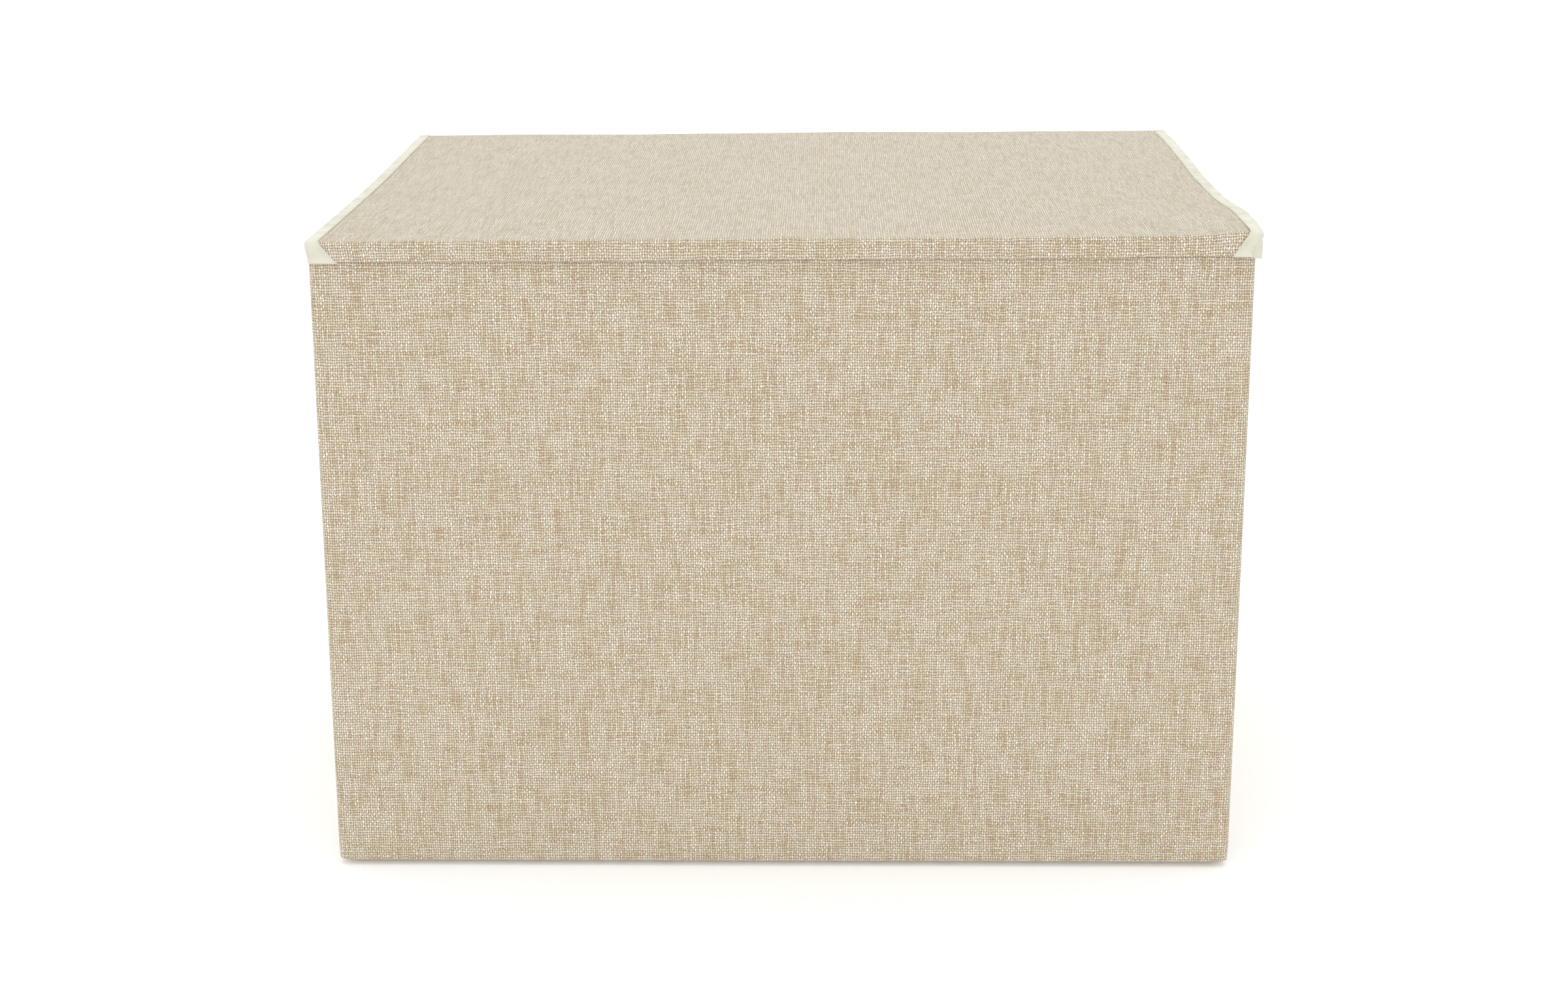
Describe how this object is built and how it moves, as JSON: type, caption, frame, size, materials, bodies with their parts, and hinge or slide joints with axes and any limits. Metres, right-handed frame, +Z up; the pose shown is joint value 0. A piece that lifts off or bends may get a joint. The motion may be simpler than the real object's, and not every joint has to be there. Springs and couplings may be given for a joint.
{
  "type": "lidded fabric storage bin",
  "caption": "Rectangular fold-flat storage bin of woven fabric over board, with a hinged, tape-bound lid whose front edge turns down as a lip.",
  "frame": {"origin": "on the floor, under the middle of the whole bin's bounding box", "axes": "+X to the right as seen from the front, +Y towards the back wall with the lid's hinge, +Z up"},
  "size_m": [0.603, 0.488, 0.428],
  "materials": {
    "woven_cover": "plain weave of cream and tan slub yarn, like coarse linen",
    "grey_board": "smooth grey board",
    "lining_fabric": "matt non-woven with a fine embossed grid",
    "binding_tape": "cream binding tape with a faint sheen"
  },
  "bodies": {
    "base_and_back": {"bottom_cover": "woven_cover", "base_board": "grey_board", "base_lining": "lining_fabric", "back_cover": "woven_cover", "back_board": "grey_board", "back_lining": "lining_fabric", "hinge_tape": "binding_tape"},
    "front_wall": {"front_cover": "woven_cover", "front_board": "grey_board", "front_lining": "lining_fabric"},
    "left_front_half": {"left_front_cover": "woven_cover", "left_front_board": "grey_board", "left_front_lining": "lining_fabric"},
    "left_rear_half": {"left_rear_cover": "woven_cover", "left_rear_board": "grey_board", "left_rear_lining": "lining_fabric"},
    "right_front_half": {"right_front_cover": "woven_cover", "right_front_board": "grey_board", "right_front_lining": "lining_fabric"},
    "right_rear_half": {"right_rear_cover": "woven_cover", "right_rear_board": "grey_board", "right_rear_lining": "lining_fabric"},
    "lid": {"lid_cover": "woven_cover", "lid_lip": "woven_cover", "lid_board": "grey_board", "lid_lining": "lining_fabric", "lid_left_tape": "binding_tape", "lid_right_tape": "binding_tape"}
  },
  "joints": [
    {"name": "lid_hinge", "type": "hinge", "parent": "base_and_back", "child": "lid", "pos_m": [0, 0.244, 0.428], "axis": [-1, 0, 0], "range_deg": [0, 240]},
    {"name": "left_rear_corner", "type": "hinge", "parent": "base_and_back", "child": "left_rear_half", "pos_m": [-0.2947, 0.2387, 0.2], "axis": [0, 0, 1], "range_deg": [0, 85]},
    {"name": "left_crease", "type": "hinge", "parent": "left_rear_half", "child": "left_front_half", "pos_m": [-0.3002, 0.002, 0.2], "axis": [0, 0, -1], "range_deg": [0, 170]},
    {"name": "left_front_corner", "type": "hinge", "parent": "left_front_half", "child": "front_wall", "pos_m": [-0.2947, -0.2347, 0.2], "axis": [0, 0, 1], "range_deg": [0, 85]},
    {"name": "right_rear_corner", "type": "hinge", "parent": "base_and_back", "child": "right_rear_half", "pos_m": [0.2947, 0.2387, 0.2], "axis": [0, 0, -1], "range_deg": [0, 85]},
    {"name": "right_crease", "type": "hinge", "parent": "right_rear_half", "child": "right_front_half", "pos_m": [0.3002, 0.002, 0.2], "axis": [0, 0, 1], "range_deg": [0, 170]}
  ],
  "couplings": [
    {"joint": "left_crease", "follows": "left_rear_corner", "ratio": 2},
    {"joint": "left_front_corner", "follows": "left_rear_corner", "ratio": 1},
    {"joint": "right_rear_corner", "follows": "left_rear_corner", "ratio": 1},
    {"joint": "right_crease", "follows": "left_rear_corner", "ratio": 2}
  ]
}
